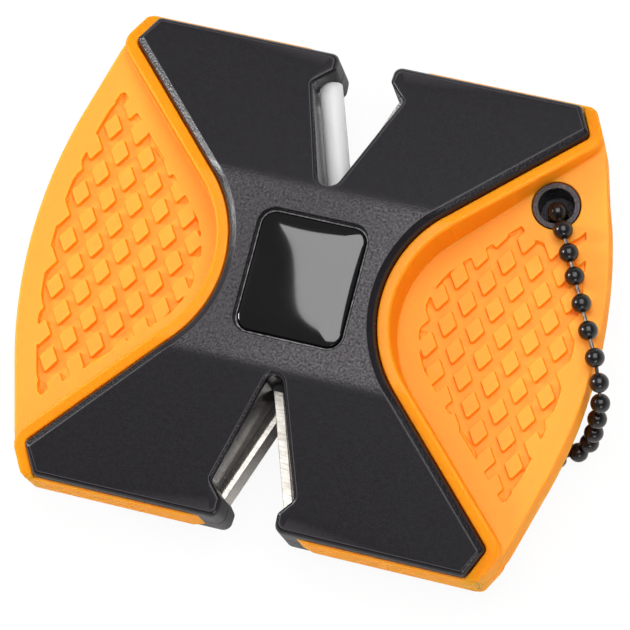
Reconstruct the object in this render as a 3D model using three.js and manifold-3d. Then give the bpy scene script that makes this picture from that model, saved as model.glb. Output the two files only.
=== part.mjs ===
import * as THREE from 'three';
import { mergeGeometries, mergeVertices } from 'three/addons/utils/BufferGeometryUtils.js';
import Module from 'manifold-3d';

// Pocket knife sharpener. Millimetres and degrees, +Z up, X across the two grips, Y along the two slots.
// The body is built about its parting plane, and a "rise" is a height above that plane.

// Black body: flat hub, sloping arms, waisted sides.
const hubRise = 11;
const hubHalfLength = 11.5;
const armFall = 17;
const creaseRadius = 8;
const waistHalfWidth = 10;
const waistRadius = 16;
const armCornerX = 29.7;
const armCornerSetback = 3.9;
const armEndX = 27.75;
const armEndY = 30.6;
const armCornerRound = 0.5;
const borderBevel = 1.1;
const edgeBevel = 0.35;
const bevelFlare = 0.4;
const bevelPast = 0.1;

// V slots and the stepped noses that guard their mouths.
const slotTipY = 12.3;
const slotTipRadius = 1.5;
const slotMouthHalf = 5.9;
const slotMouthSetback = 4.6;
const slotMouthRound = 0.6;
const noseHalfGap = 3.6;
const noseLength = 2.3;
const noseStepRound = 0.6;
const noseEndRound = 1;

// Wings: the black core plate and the orange grip moulded round it.
const fitGap = 0.3;
const wingHalfWidth = 37.05;
const wingRadius = 62.25;
const wingDraft = 0.25;
const wingEdgeBevel = 0.4;
const fieldRise = 3.4;
const coreRise = 1.6;
const coreInset = 2.4;
const coreHalfLength = 22;
const coreRoot = 1.5;

// Rim along the black border, corner ridges and end strips of the grip.
const rimWidth = 1.4;
const rimDrop = 1.1;
const rimBevel = 0.3;
const ridgeCornerRound = 0.9;
const ridgeEndRound = 1.1;
const stripProud = 0.45;
const stripDepth = 1.2;
const stripRise = 2.65;
const stripEndX = 6.3;
const stripBevel = 0.25;

// Diamond pattern of the grip field.
const diamondPitch = 3.53;
const diamondRowPitch = 3.113;
const diamondWidth = 2.25;
const diamondLength = 3.35;
const diamondColumn = 17.885;
const grooveDepth = 0.5;
const pocketBorderInset = 4.55;
const pocketEdgeInset = 3.25;
const pocketEyeletRadius = 5;

// Eyelet for the chain, in the right wing only.
const eyeletX = 27.6;
const eyeletY = 17.4;
const eyeletOuterRadius = 3;
const eyeletBoreRadius = 2.2;

// Crossed ceramic rods in the +Y slot.
const rodDiameter = 3;
const rodTilt = 19.5;
const rodCrossY = 14.6;
const rodFootY = 9.6;
const rodHeadSetback = 2.2;
const rodChamfer = 0.3;

// Crossed carbide blades in the -Y slot.
const bladeThickness = 2.2;
const bladeHeight = 4.6;
const bladeTilt = 19.5;
const bladeEdgeCrossY = 15.2;
const bladeFootY = 9.6;
const bladeHeadSetback = 2.6;

// Badge on the hub: a thin plate with a clear-edged dome on it, in a shallow recess.
const badgeWidth = 13.6;
const badgeLength = 15.6;
const badgeRound = 1.9;
const badgeRecessDepth = 1.1;
const badgePlateThickness = 0.5;
const badgeDomeHeight = 0.9;
const badgeDomeShoulder = 0.3;
const badgeDomeRun = 1.3;

// Screws that close the two shells from the underside.
const screwX = 15;
const screwSetback = 10.6;
const screwHeadRadius = 2.1;
const screwHeadHeight = 1.7;
const screwHeadChamfer = 0.4;
const screwShankRadius = 1.1;
const screwShankLength = 8;
const screwTipLength = 1.5;
const screwSeatRise = 3.6;

// Ball chain: solid beads on wire links, closed by a slotted tube coupling.
const beadRadius = 1.2;
const beadCount = 27;
const linkRadius = 0.35;
const couplingWall = 0.3;
const couplingBeadOffset = 2.2;
const couplingX = 25.5;
const couplingY = 0.5;
const couplingLead = 5.4;
const chainEdgeY = -0.5;
const chainDropY = -7;
const chainTurnY = -11.5;

// Facets.
const waistSteps = 6;
const roundSteps = 2;
const tipSteps = 4;
const creaseSteps = 2;
const wingSteps = 12;
const circleSteps = 18;
const rodSteps = 14;
const screwSteps = 12;
const beadSteps = 8;
const beadRings = 5;

// What keeps its distance from the arms' ends.
const armCornerY = armEndY - armCornerSetback;
const slotMouthY = armEndY - slotMouthSetback;
const noseStepY = armEndY - noseLength;
const rodHeadY = armEndY - rodHeadSetback;
const bladeHeadY = armEndY - bladeHeadSetback;
const screwY = armEndY - screwSetback;

const wasm = await Module();
wasm.setup();

const { degToRad } = THREE.MathUtils;
const point = (x, y) => new THREE.Vector2(x, y);
function finish(color, roughness, metalness) {
  return new THREE.MeshStandardMaterial({ color, roughness, metalness });
}

const blackPlastic = finish(0x2e2a30, 0.55, 0);
const orangeRubber = finish(0xff9800, 0.6, 0);
const whiteCeramic = finish(0xf2f0ea, 0.45, 0);
const darkCarbide = finish(0x6d665e, 0.35, 1);
const glossBlack = finish(0x0b0b0d, 0.08, 0);
const screwSteel = finish(0x9a9da0, 0.35, 1);
const chainBlack = finish(0x141416, 0.2, 0.6);

// A closed geometry as a solid for joining and cutting.
function solid(geometry) {
  const bare = geometry.clone();
  bare.deleteAttribute('normal');
  bare.deleteAttribute('uv');
  const merged = mergeVertices(bare, 1e-4);
  const corners = merged.index.array;
  const kept = [];
  for (let i = 0; i < corners.length; i += 3) {
    const [a, b, c] = [corners[i], corners[i + 1], corners[i + 2]];
    if (a !== b && b !== c && c !== a) kept.push(a, b, c);
  }
  return new wasm.Manifold(new wasm.Mesh({
    numProp: 3,
    vertProperties: new Float32Array(merged.attributes.position.array),
    triVerts: new Uint32Array(kept),
  }));
}

// A solid back as a geometry.
function shaped(body) {
  const { vertProperties, triVerts } = body.getMesh();
  const geometry = new THREE.BufferGeometry();
  geometry.setAttribute('position', new THREE.BufferAttribute(new Float32Array(vertProperties), 3));
  geometry.setIndex(new THREE.BufferAttribute(new Uint32Array(triVerts), 1));
  geometry.computeVertexNormals();
  return geometry;
}

// A mirrored copy of a geometry, with its faces turned to point out again.
function mirrored(geometry, sx, sy, sz) {
  const copy = geometry.clone().scale(sx, sy, sz);
  const corners = copy.index.array;
  for (let i = 0; i < corners.length; i += 3) [corners[i], corners[i + 1]] = [corners[i + 1], corners[i]];
  copy.computeVertexNormals();
  return copy;
}

function named(name, geometry, material) {
  const mesh = new THREE.Mesh(geometry, material);
  mesh.name = name;
  return mesh;
}

// A plan outline between two heights, with an optional bevel of the top and bottom edges.
function prism(outline, low, high, bevelRun = 0, bevelRise = bevelRun) {
  const geometry = new THREE.ExtrudeGeometry(new THREE.Shape(outline), {
    depth: high - low - 2 * bevelRise,
    bevelEnabled: bevelRun > 0,
    bevelThickness: bevelRise,
    bevelSize: bevelRun,
    bevelOffset: -bevelRun,
    bevelSegments: 1,
  });
  return geometry.translate(0, 0, low + bevelRise);
}

function disc(x, y, radius, low, high, steps = circleSteps) {
  const cylinder = new THREE.CylinderGeometry(radius, radius, high - low, steps).rotateX(Math.PI / 2);
  return cylinder.translate(x, y, (low + high) / 2);
}

// A path whose corners, given as [x, y, radius], are rounded with arcs that fit their sides.
function rounded(corners, closed = false) {
  const count = corners.length;
  return corners.flatMap(([x, y, radius], i) => {
    const corner = point(x, y);
    if (!radius || (!closed && (i === 0 || i === count - 1))) return [corner];
    const before = point(...corners[(i + count - 1) % count]).sub(corner);
    const after = point(...corners[(i + 1) % count]).sub(corner);
    const half = Math.acos(before.dot(after) / before.length() / after.length()) / 2;
    const run = Math.min(radius / Math.tan(half), before.length() / 2, after.length() / 2);
    const fitted = run * Math.tan(half);
    const inward = before.clone().normalize().add(after.clone().normalize());
    const centre = inward.setLength(fitted / Math.sin(half)).add(corner);
    const first = before.setLength(run).add(corner).sub(centre).angle();
    const last = after.setLength(run).add(corner).sub(centre).angle();
    const turn = Math.atan2(Math.sin(last - first), Math.cos(last - first));
    return Array.from({ length: roundSteps + 1 }, (_, k) =>
      point(fitted, 0).rotateAround(point(0, 0), first + turn * k / roundSteps).add(centre));
  });
}

// The quarter outline from the +X axis to the +Y axis, repeated in the other three quarters.
function fourfold(quarter) {
  const turned = (sx, sy) => quarter.map((p) => point(p.x * sx, p.y * sy));
  const quarters = [quarter, turned(-1, 1).reverse(), turned(-1, -1), turned(1, -1).reverse()];
  return quarters.flatMap((points) => points.slice(0, -1));
}

// The half path from the +X axis upward, joined to its mirror image below the axis.
const bothHalves = (half) => [...half.slice(1).map((p) => point(p.x, -p.y)).reverse(), ...half];

// Border between black and orange: the waist arc and its tangent to the arm's corner.
// It can be offset into the grip, and so can the short edge from that corner to the arm's end.
const waistCentreX = waistHalfWidth + waistRadius;
const cornerReach = Math.hypot(armCornerX - waistCentreX, armCornerY);
const borderAngle = Math.atan2(armCornerY, armCornerX - waistCentreX) + Math.acos(waistRadius / cornerReach);
const borderRun = point(Math.sin(borderAngle), -Math.cos(borderAngle));
const borderNormal = point(-Math.cos(borderAngle), -Math.sin(borderAngle));
const cornerRun = point(armEndX - armCornerX, armEndY - armCornerY).normalize();
const cornerNormal = point(cornerRun.y, -cornerRun.x);
const armCorner = point(armCornerX, armCornerY);

function waistPath(offset) {
  return Array.from({ length: waistSteps + 1 }, (_, k) => {
    const angle = Math.PI + (borderAngle - Math.PI) * k / waistSteps;
    const reach = waistRadius - offset;
    return point(waistCentreX + reach * Math.cos(angle), reach * Math.sin(angle));
  });
}

function borderAtHeight(offset, y) {
  const start = waistPath(offset).at(-1);
  return borderRun.clone().multiplyScalar((y - start.y) / borderRun.y).add(start);
}

function cornerAt(offset) {
  const spread = offset / (1 + borderNormal.dot(cornerNormal));
  return borderNormal.clone().add(cornerNormal).multiplyScalar(spread).add(armCorner);
}

function cornerAtHeight(offset, y) {
  const start = cornerNormal.clone().multiplyScalar(offset).add(armCorner);
  return cornerRun.clone().multiplyScalar((y - start.y) / cornerRun.y).add(start);
}

// Outer arc of a wing, set in from its edge.
const wingCentreX = wingHalfWidth - wingRadius;
const wingAt = (inset, y) => point(wingCentreX + Math.sqrt((wingRadius - inset) ** 2 - y * y), y);
function wingArc(inset, y) {
  return Array.from({ length: wingSteps + 1 }, (_, k) => wingAt(inset, y * (1 - 2 * k / wingSteps)));
}

// Top of the body: the hub's plane, the arms' planes and tangent planes round the crease between them.
const creaseCentreY = hubHalfLength - creaseRadius * Math.tan(degToRad(armFall) / 2);
function topPlanes(steps) {
  return Array.from({ length: 2 * steps + 1 }, (_, i) => {
    const angle = degToRad(armFall) * (i - steps) / steps;
    const touchY = creaseCentreY + creaseRadius * Math.sin(Math.abs(angle));
    const touchRise = hubRise - creaseRadius * (1 - Math.cos(angle));
    return { slope: -Math.tan(angle), rise: touchRise + Math.tan(Math.abs(angle)) * touchY };
  });
}

// A body cut off by those planes, or by planes a little lower, with the top edge of its outline bevelled.
// The cutting solids flare out past the outline's walls, and may rise past the planes inside the bevel.
function bevelled(body, outline, bevel, steps, drop, past) {
  const run = bevel + past + bevelFlare;
  const blank = new THREE.ExtrudeGeometry(new THREE.Shape(outline), {
    depth: 4 * hubRise,
    bevelThickness: run,
    bevelSize: run,
    bevelOffset: -bevel - past,
    bevelSegments: 1,
  });
  blank.translate(0, 0, past - run - 4 * hubRise);
  return topPlanes(steps).reduce((cut, { slope, rise }) => {
    const shear = new THREE.Matrix4().makeShear(0, 0, 0, slope, 0, 0).setPosition(0, 0, rise - drop);
    return cut.intersect(solid(blank.clone().applyMatrix4(shear)));
  }, body);
}

const wide = 4 * wingHalfWidth;
const abovePartingPlane = solid(new THREE.BoxGeometry(wide, wide, wide).translate(0, 0, wide / 2));

// Rods: turned bars, the one on the left above the parting plane and the one on the right below it.
function rodGeometry(extra) {
  const radius = rodDiameter / 2 + extra;
  const half = (rodHeadY - rodFootY) / Math.cos(degToRad(rodTilt)) / 2 + extra;
  const profile = [
    point(0, -half),
    point(radius - rodChamfer, -half),
    point(radius, rodChamfer - half),
    point(radius, half - rodChamfer),
    point(radius - rodChamfer, half),
    point(0, half),
  ];
  return new THREE.LatheGeometry(profile, rodSteps);
}

function placeRod(object, side) {
  const middleY = (rodHeadY + rodFootY) / 2;
  const x = side * (middleY - rodCrossY) * Math.tan(degToRad(rodTilt));
  object.position.set(x, middleY, -side * (rodDiameter + fitGap) / 2);
  object.rotation.z = -side * degToRad(rodTilt);
  object.updateMatrix();
  return object;
}

// Blades: square-edged bars whose free edges cross, the one on the right resting on the parting plane.
function bladeGeometry(extra) {
  const length = (bladeHeadY - bladeFootY) / Math.cos(degToRad(bladeTilt));
  const height = bladeHeight + extra;
  const box = new THREE.BoxGeometry(bladeThickness + 2 * extra, length + 2 * extra, height);
  return box.translate(0, 0, height / 2);
}

function placeBlade(object, side) {
  const middleY = (bladeHeadY + bladeFootY) / 2;
  const edgeX = (middleY - bladeEdgeCrossY) * Math.tan(degToRad(bladeTilt));
  object.position.set(side * (edgeX + bladeThickness / 2 / Math.cos(degToRad(bladeTilt))), -middleY, 0);
  object.rotation.z = degToRad(bladeTilt);
  if (side < 0) object.rotation.y = Math.PI;
  object.updateMatrix();
  return object;
}

// What the shells leave free for the rods and blades.
const seats = [-1, 1].flatMap((side) => [
  rodGeometry(fitGap).applyMatrix4(placeRod(new THREE.Object3D(), side).matrix),
  bladeGeometry(fitGap).applyMatrix4(placeBlade(new THREE.Object3D(), side).matrix),
]).map(solid);

// Outline of the black body: border, corner, arm end, nose, step, slot wall and slot tip.
const tipCentreY = slotTipY + slotTipRadius;
const mouthReach = Math.hypot(slotMouthHalf, slotMouthY - tipCentreY);
const tipAngle = Math.atan2(slotMouthY - tipCentreY, slotMouthHalf) - Math.acos(slotTipRadius / mouthReach);
const tipPath = Array.from({ length: tipSteps + 1 }, (_, k) => {
  const angle = tipAngle + (-Math.PI / 2 - tipAngle) * k / tipSteps;
  return point(slotTipRadius * Math.cos(angle), tipCentreY + slotTipRadius * Math.sin(angle));
});
const bodyQuarter = rounded([
  ...waistPath(0).map((p) => [p.x, p.y]),
  [armCornerX, armCornerY, armCornerRound],
  [armEndX, armEndY, armCornerRound],
  [noseHalfGap, armEndY, noseEndRound],
  [noseHalfGap, noseStepY, noseStepRound],
  [slotMouthHalf, slotMouthY, slotMouthRound],
  ...tipPath.map((p) => [p.x, p.y]),
]);

// The border alone, run on past the arms, carries the wide bevel.
const pastArms = borderAtHeight(0, 2 * armEndY);
const borderQuarter = [...waistPath(0), pastArms, point(0, pastArms.y)];

// Core of a wing, from inside the black border out to its own arc.
function coreOutline(extra) {
  const y = coreHalfLength + extra;
  const root = waistPath(-coreRoot);
  const rootHalf = [root[0], root.at(-1), borderAtHeight(-coreRoot, y)];
  return [...bothHalves(rootHalf), ...wingArc(coreInset - extra, y)];
}

const toLeft = (outline) => outline.map((p) => point(-p.x, p.y));

// Rebates in the arm ends for the strips of the grips.
const rebateEnd = armEndY - stripDepth;
const rebates = [-1, 1].flatMap((sx) => [-1, 1].map((sy) => {
  const length = wide - stripEndX + fitGap;
  const box = new THREE.BoxGeometry(length, wide, 2 * (stripRise + fitGap));
  return solid(box.translate(sx * (stripEndX - fitGap + length / 2), sy * (rebateEnd + wide / 2), 0));
}));

// One half of the body, above the parting plane.
const bodyOutline = fourfold(bodyQuarter);
let half = solid(prism(bodyOutline, 0, 2 * hubRise));
half = bevelled(half, fourfold(borderQuarter), borderBevel, creaseSteps, 0, 0);
half = bevelled(half, bodyOutline, edgeBevel, 1, 0, bevelPast);
for (const rebate of rebates) half = half.subtract(rebate);
half = half.add(solid(prism(coreOutline(0), 0, coreRise)));
half = half.add(solid(prism(toLeft(coreOutline(0)), 0, coreRise)));
half = half.add(solid(disc(eyeletX, eyeletY, eyeletOuterRadius, 0, fieldRise)));
half = half.subtract(solid(disc(eyeletX, eyeletY, eyeletBoreRadius, -hubRise, hubRise)));

const screwPlaces = [
  { name: 'front_right', x: screwX, y: screwY },
  { name: 'front_left', x: -screwX, y: screwY },
  { name: 'back_left', x: -screwX, y: -screwY },
  { name: 'back_right', x: screwX, y: -screwY },
];

// Upper shell: badge recess, blind holes for the screws, seats.
const badgeOutline = (extra) => rounded([
  [badgeWidth / 2 + extra, badgeLength / 2 + extra, badgeRound + extra],
  [-badgeWidth / 2 - extra, badgeLength / 2 + extra, badgeRound + extra],
  [-badgeWidth / 2 - extra, -badgeLength / 2 - extra, badgeRound + extra],
  [badgeWidth / 2 + extra, -badgeLength / 2 - extra, badgeRound + extra],
], true);
const recessRise = hubRise - badgeRecessDepth;
const screwHoleRadius = screwShankRadius + fitGap;
const screwHoleRise = screwShankLength - screwSeatRise + fitGap;
let upper = half.subtract(solid(prism(badgeOutline(fitGap), recessRise, hubRise + badgeRecessDepth)));
for (const { x, y } of screwPlaces) {
  upper = upper.subtract(solid(disc(x, y, screwHoleRadius, -hubRise, screwHoleRise, screwSteps)));
}
for (const seat of seats) upper = upper.subtract(seat);

// Lower shell: the mirrored half with through holes and head recesses for the screws.
let lower = solid(mirrored(shaped(half), 1, 1, -1));
for (const { x, y } of screwPlaces) {
  const headRecess = disc(x, y, screwHeadRadius + fitGap, -2 * hubRise, -screwSeatRise, screwSteps);
  lower = lower.subtract(solid(disc(x, y, screwHoleRadius, -2 * hubRise, hubRise, screwSteps)));
  lower = lower.subtract(solid(headRecess));
}
for (const seat of seats) lower = lower.subtract(seat);

// Grip of the right wing: rim and corner ridges, field plate, end strips, hollow for the core.
const ridgeEndY = armEndY + stripProud;
const rimOuter = fitGap + rimWidth;
const rimMiddle = fitGap + rimWidth / 2;
const xy = (p, radius = 0) => [p.x, p.y, radius];
const rimOuterPath = rounded([
  ...waistPath(rimOuter).map((p) => xy(p)),
  xy(cornerAt(rimOuter), ridgeCornerRound),
  xy(cornerAtHeight(rimOuter, ridgeEndY), ridgeEndRound),
  xy(cornerAtHeight(fitGap, ridgeEndY)),
]);
const rimInnerPath = [...waistPath(fitGap), cornerAt(fitGap), cornerAtHeight(fitGap, ridgeEndY)];
const rimHalf = [...rimOuterPath, ...rimInnerPath.slice(0, -1).reverse()];
const rimOutline = [...rimHalf, ...rimHalf.map((p) => point(p.x, -p.y)).reverse()].filter((p, i, all) =>
  p.distanceTo(all[(i + 1) % all.length]) > 1e-6);

const plateEnd = cornerAt(rimMiddle);
const plateOutline = bothHalves([...waistPath(rimMiddle), plateEnd, point(wide, plateEnd.y)]);
const edgeOutline = [point(0, -armEndY), point(0, armEndY), ...wingArc(0, armEndY)];
const drafted = solid(prism(edgeOutline, -fieldRise, fieldRise, wingDraft, fieldRise - wingEdgeBevel));
const edged = solid(prism(edgeOutline, -fieldRise, fieldRise, wingDraft + wingEdgeBevel, wingEdgeBevel));
const plate = solid(prism(plateOutline, -fieldRise, fieldRise)).intersect(drafted).intersect(edged);

function strip(sy) {
  const inner = rebateEnd + fitGap;
  const outline = [
    point(stripEndX, sy * inner),
    point(stripEndX + stripProud, sy * ridgeEndY),
    point(cornerAtHeight(rimMiddle, ridgeEndY).x, sy * ridgeEndY),
    point(cornerAtHeight(rimMiddle, inner).x, sy * inner),
  ];
  return solid(prism(outline, -stripRise, stripRise, stripBevel));
}

// Diamonds: rhombic pads in staggered rows, left standing in a shallow pocket of the field.
const pocketFloor = fieldRise - grooveDepth;
const pocketTop = fieldRise + grooveDepth;
const pocketStart = waistPath(pocketBorderInset).at(-1).sub(point(wingCentreX, 0));
const pocketAlong = pocketStart.dot(borderRun);
const pocketRadius = wingRadius - pocketEdgeInset;
const pocketReach = Math.sqrt(pocketAlong ** 2 - pocketStart.lengthSq() + pocketRadius ** 2) - pocketAlong;
const pocketTip = borderRun.clone().multiplyScalar(pocketReach).add(pocketStart);
const pocketOutline = [...bothHalves(waistPath(pocketBorderInset)), ...wingArc(pocketEdgeInset, pocketTip.y)];
const rows = Math.ceil(pocketTip.y / diamondRowPitch);
const columns = Math.ceil(wingHalfWidth / diamondPitch);
const padOutline = [
  point(diamondWidth / 2, 0),
  point(0, diamondLength / 2),
  point(-diamondWidth / 2, 0),
  point(0, -diamondLength / 2),
];
const pad = prism(padOutline, pocketFloor - grooveDepth, pocketTop + grooveDepth);
const pads = [];
for (let row = -rows; row <= rows; row += 1) {
  const stagger = row % 2 === 0 ? 0 : diamondPitch / 2;
  const edgeNear = waistHalfWidth + rimOuter;
  for (let column = -columns; column <= columns; column += 1) {
    const x = diamondColumn - stagger + column * diamondPitch;
    if (x < edgeNear || x > wingHalfWidth) continue;
    pads.push(pad.clone().translate(x, row * diamondRowPitch, 0));
  }
}
const grooves = solid(prism(pocketOutline, pocketFloor, pocketTop)).subtract(solid(mergeGeometries(pads)));

function grip(withEyelet) {
  let body = bevelled(solid(prism(rimOutline, 0, 2 * hubRise)), rimOutline, rimBevel, 1, rimDrop, 0);
  body = body.add(plate).add(strip(1)).add(strip(-1));
  body = body.intersect(abovePartingPlane);
  body = body.subtract(solid(prism(coreOutline(fitGap), -coreRise, coreRise)));
  if (!withEyelet) return body.subtract(grooves);
  const clear = solid(disc(eyeletX, eyeletY, pocketEyeletRadius, 0, pocketTop));
  const hole = solid(disc(eyeletX, eyeletY, eyeletOuterRadius + fitGap, -hubRise, hubRise));
  return body.subtract(grooves.subtract(clear)).subtract(hole);
}

const rightGrip = shaped(grip(true));
const leftGrip = mirrored(shaped(grip(false)), -1, 1, 1);

const body = new THREE.Group();
body.add(named('upper_shell', shaped(upper), blackPlastic));
body.add(named('lower_shell', shaped(lower), blackPlastic));
body.add(named('upper_right_grip', rightGrip, orangeRubber));
body.add(named('upper_left_grip', leftGrip, orangeRubber));
body.add(named('lower_right_grip', mirrored(rightGrip, 1, 1, -1), orangeRubber));
body.add(named('lower_left_grip', mirrored(leftGrip, 1, 1, -1), orangeRubber));

body.add(placeRod(named('ceramic_rod_left', shaped(solid(rodGeometry(0))), whiteCeramic), -1));
body.add(placeRod(named('ceramic_rod_right', shaped(solid(rodGeometry(0))), whiteCeramic), 1));
body.add(placeBlade(named('carbide_blade_left', bladeGeometry(0), darkCarbide), -1));
body.add(placeBlade(named('carbide_blade_right', bladeGeometry(0), darkCarbide), 1));

// Badge: flat plate, and a dome with a straight shoulder and a sloping edge.
const plateRise = recessRise + badgePlateThickness;
const domeSlope = badgeDomeHeight - badgeDomeShoulder;
const domeRise = plateRise + badgeDomeHeight;
const dome = prism(badgeOutline(0), plateRise - badgeDomeHeight, domeRise, badgeDomeRun, domeSlope);
const aboveBadgePlate = new THREE.BoxGeometry(wide, wide, wide).translate(0, 0, plateRise + wide / 2);
body.add(named('badge_plate', prism(badgeOutline(0), recessRise, plateRise), glossBlack));
body.add(named('badge_dome', shaped(solid(dome).intersect(solid(aboveBadgePlate))), glossBlack));

// Screws, head down.
const screwProfile = [
  point(0, 0),
  point(screwHeadRadius - screwHeadChamfer, 0),
  point(screwHeadRadius, screwHeadChamfer),
  point(screwHeadRadius, screwHeadHeight),
  point(screwShankRadius, screwHeadHeight),
  point(screwShankRadius, screwHeadHeight + screwShankLength - screwTipLength),
  point(0, screwHeadHeight + screwShankLength),
];
for (const { name, x, y } of screwPlaces) {
  const turned = new THREE.LatheGeometry(screwProfile, screwSteps);
  const screw = named(`screw_${name}`, shaped(solid(turned)), screwSteel);
  screw.position.set(x, y, -screwSeatRise - screwHeadHeight);
  screw.rotation.x = Math.PI / 2;
  body.add(screw);
}

// Route of the chain: from the coupling up through the eyelet, over the field and the wing's edge and back.
const overField = fieldRise + beadRadius + fitGap;
const onFloor = beadRadius + fitGap - hubRise;
const besideWing = wingHalfWidth + beadRadius + 2 * fitGap;
const couplingRadius = beadRadius + fitGap + couplingWall;
const couplingRise = couplingRadius + fitGap - hubRise;
const eyelet = new THREE.Vector3(eyeletX, eyeletY, overField);
const edge = new THREE.Vector3(wingHalfWidth, chainEdgeY, overField);
const alongField = (share) => eyelet.clone().lerp(edge, share);
const spot = (x, y, z) => new THREE.Vector3(x, y, z);
const boreSlack = eyeletBoreRadius - beadRadius - fitGap;
const route = new THREE.CatmullRomCurve3([
  spot(couplingX, couplingY + couplingBeadOffset, couplingRise),
  spot(couplingX, couplingY + couplingBeadOffset + couplingLead / 2, couplingRise),
  spot(couplingX, couplingY + couplingBeadOffset + couplingLead, couplingRise),
  spot(eyeletX, eyeletY - 2 * eyeletBoreRadius, onFloor + beadRadius),
  spot(eyeletX, eyeletY - boreSlack, -fieldRise - beadRadius),
  spot(eyeletX, eyeletY - boreSlack / 2, 0),
  spot(eyeletX, eyeletY - boreSlack / 2, fieldRise - fitGap),
  alongField(0.17),
  alongField(0.45),
  alongField(0.75),
  edge,
  spot(besideWing, chainEdgeY + (chainDropY - chainEdgeY) * 0.4, fieldRise - beadRadius),
  spot(besideWing, chainEdgeY + (chainDropY - chainEdgeY) * 0.7, -fieldRise / 2),
  spot(besideWing - beadRadius / 2, chainDropY, onFloor / 2 - beadRadius),
  spot(wingHalfWidth - beadRadius, (chainDropY + chainTurnY) / 2, onFloor),
  spot((wingHalfWidth + couplingX) / 2, chainTurnY, onFloor),
  spot(couplingX + 2 * beadRadius, couplingY - couplingBeadOffset - 1.4 * couplingLead, onFloor),
  spot(couplingX, couplingY - couplingBeadOffset - couplingLead, couplingRise),
  spot(couplingX, couplingY - couplingBeadOffset - couplingLead / 2, couplingRise),
  spot(couplingX, couplingY - couplingBeadOffset, couplingRise),
]);
const beads = route.getSpacedPoints(beadCount - 1);

// A bead with the wire link that reaches to just short of the next bead.
function beadGeometry(linkLength) {
  const last = linkLength > 0 ? Math.PI - Math.asin(linkRadius / beadRadius) : Math.PI;
  const profile = Array.from({ length: beadRings + 1 }, (_, k) =>
    point(beadRadius * Math.sin(last * k / beadRings), -beadRadius * Math.cos(last * k / beadRings)));
  profile[0].x = 0;
  if (linkLength > 0) {
    const tip = beadRadius + linkLength;
    profile.push(point(linkRadius, tip), point(0, tip));
  } else {
    profile[beadRings].x = 0;
  }
  return new THREE.LatheGeometry(profile, beadSteps);
}

const chain = new THREE.Group();
const upright = new THREE.Vector3(0, 1, 0);
beads.forEach((place, i) => {
  const next = beads[i + 1];
  const linkLength = next ? place.distanceTo(next) - 2 * beadRadius - fitGap : 0;
  const number = String(i + 1).padStart(2, '0');
  const bead = named(`chain_bead_${number}`, shaped(solid(beadGeometry(linkLength))), chainBlack);
  bead.position.copy(place);
  if (next) bead.quaternion.setFromUnitVectors(upright, next.clone().sub(place).normalize());
  chain.add(bead);
});

// Coupling: a tube with drawn-in ends and a slot along one side, round the two end beads.
const couplingHalf = couplingBeadOffset + beadRadius + fitGap + couplingWall;
const couplingBore = couplingRadius - couplingWall;
const couplingMouth = linkRadius + fitGap;
const couplingProfile = [
  point(couplingMouth, -couplingHalf),
  point(couplingRadius - couplingWall, -couplingHalf),
  point(couplingRadius, couplingWall - couplingHalf),
  point(couplingRadius, couplingHalf - couplingWall),
  point(couplingRadius - couplingWall, couplingHalf),
  point(couplingMouth, couplingHalf),
  point(couplingMouth, couplingHalf - couplingWall),
  point(couplingBore, couplingHalf - couplingWall),
  point(couplingBore, couplingWall - couplingHalf),
  point(couplingMouth, couplingWall - couplingHalf),
  point(couplingMouth, -couplingHalf),
];
const couplingSlot = new THREE.BoxGeometry(2 * couplingMouth, 3 * couplingHalf, couplingRadius + beadRadius);
couplingSlot.translate(0, 0, -(couplingRadius + beadRadius) / 2);
const couplingTube = solid(new THREE.LatheGeometry(couplingProfile, rodSteps)).subtract(solid(couplingSlot));
const coupling = named('chain_coupling', shaped(couplingTube), chainBlack);
coupling.position.set(couplingX, couplingY, couplingRise);
chain.add(coupling);

// Origin at the middle of the flat underside of the hub.
const sharpener = new THREE.Group();
sharpener.add(body, chain);
sharpener.position.z = hubRise;

export default sharpener;
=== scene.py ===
import math
import bpy
import bmesh
import numpy as np
from mathutils import Matrix, Vector
from mathutils.geometry import delaunay_2d_cdt


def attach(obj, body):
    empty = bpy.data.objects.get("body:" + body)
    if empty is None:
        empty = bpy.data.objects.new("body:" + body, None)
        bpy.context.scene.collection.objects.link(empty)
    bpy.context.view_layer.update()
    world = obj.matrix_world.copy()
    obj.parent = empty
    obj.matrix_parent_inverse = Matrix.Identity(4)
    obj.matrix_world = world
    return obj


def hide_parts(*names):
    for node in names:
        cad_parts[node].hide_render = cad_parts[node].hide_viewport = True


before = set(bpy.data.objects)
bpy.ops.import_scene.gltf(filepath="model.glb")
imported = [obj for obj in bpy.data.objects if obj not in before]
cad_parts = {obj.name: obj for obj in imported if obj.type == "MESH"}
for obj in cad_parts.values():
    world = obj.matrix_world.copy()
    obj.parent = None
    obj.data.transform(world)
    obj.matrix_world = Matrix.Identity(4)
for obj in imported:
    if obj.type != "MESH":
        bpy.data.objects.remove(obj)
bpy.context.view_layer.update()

# ---------------------------------------------------------------------------------------------
# Studio: a plain pale table under soft boxes, seen with a long lens from high on the right. Table and
# air read white to the lens. In reflections the air is white low down and greyer overhead, and the
# table keeps the object's soft shadow.

lens_right = Vector((0.9584, 0.2506, -0.1365))
lens_up = Vector((-0.2152, 0.9489, 0.2308))
lens_back = Vector((0.1874, -0.1918, 0.9634))
lens_place = Vector((0.0820, -0.0851, 0.4286))

lens = bpy.data.cameras.new("studio_lens")
lens.lens = 196.6
lens.sensor_width = 36
lens.clip_start = 0.01
camera = bpy.data.objects.new("studio_camera", lens)
turn = Matrix((lens_right, lens_up, lens_back)).transposed().to_4x4()
camera.matrix_world = Matrix.Translation(lens_place) @ turn
bpy.context.collection.objects.link(camera)
bpy.context.scene.camera = camera
bpy.context.scene.view_settings.view_transform = "Standard"


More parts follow.
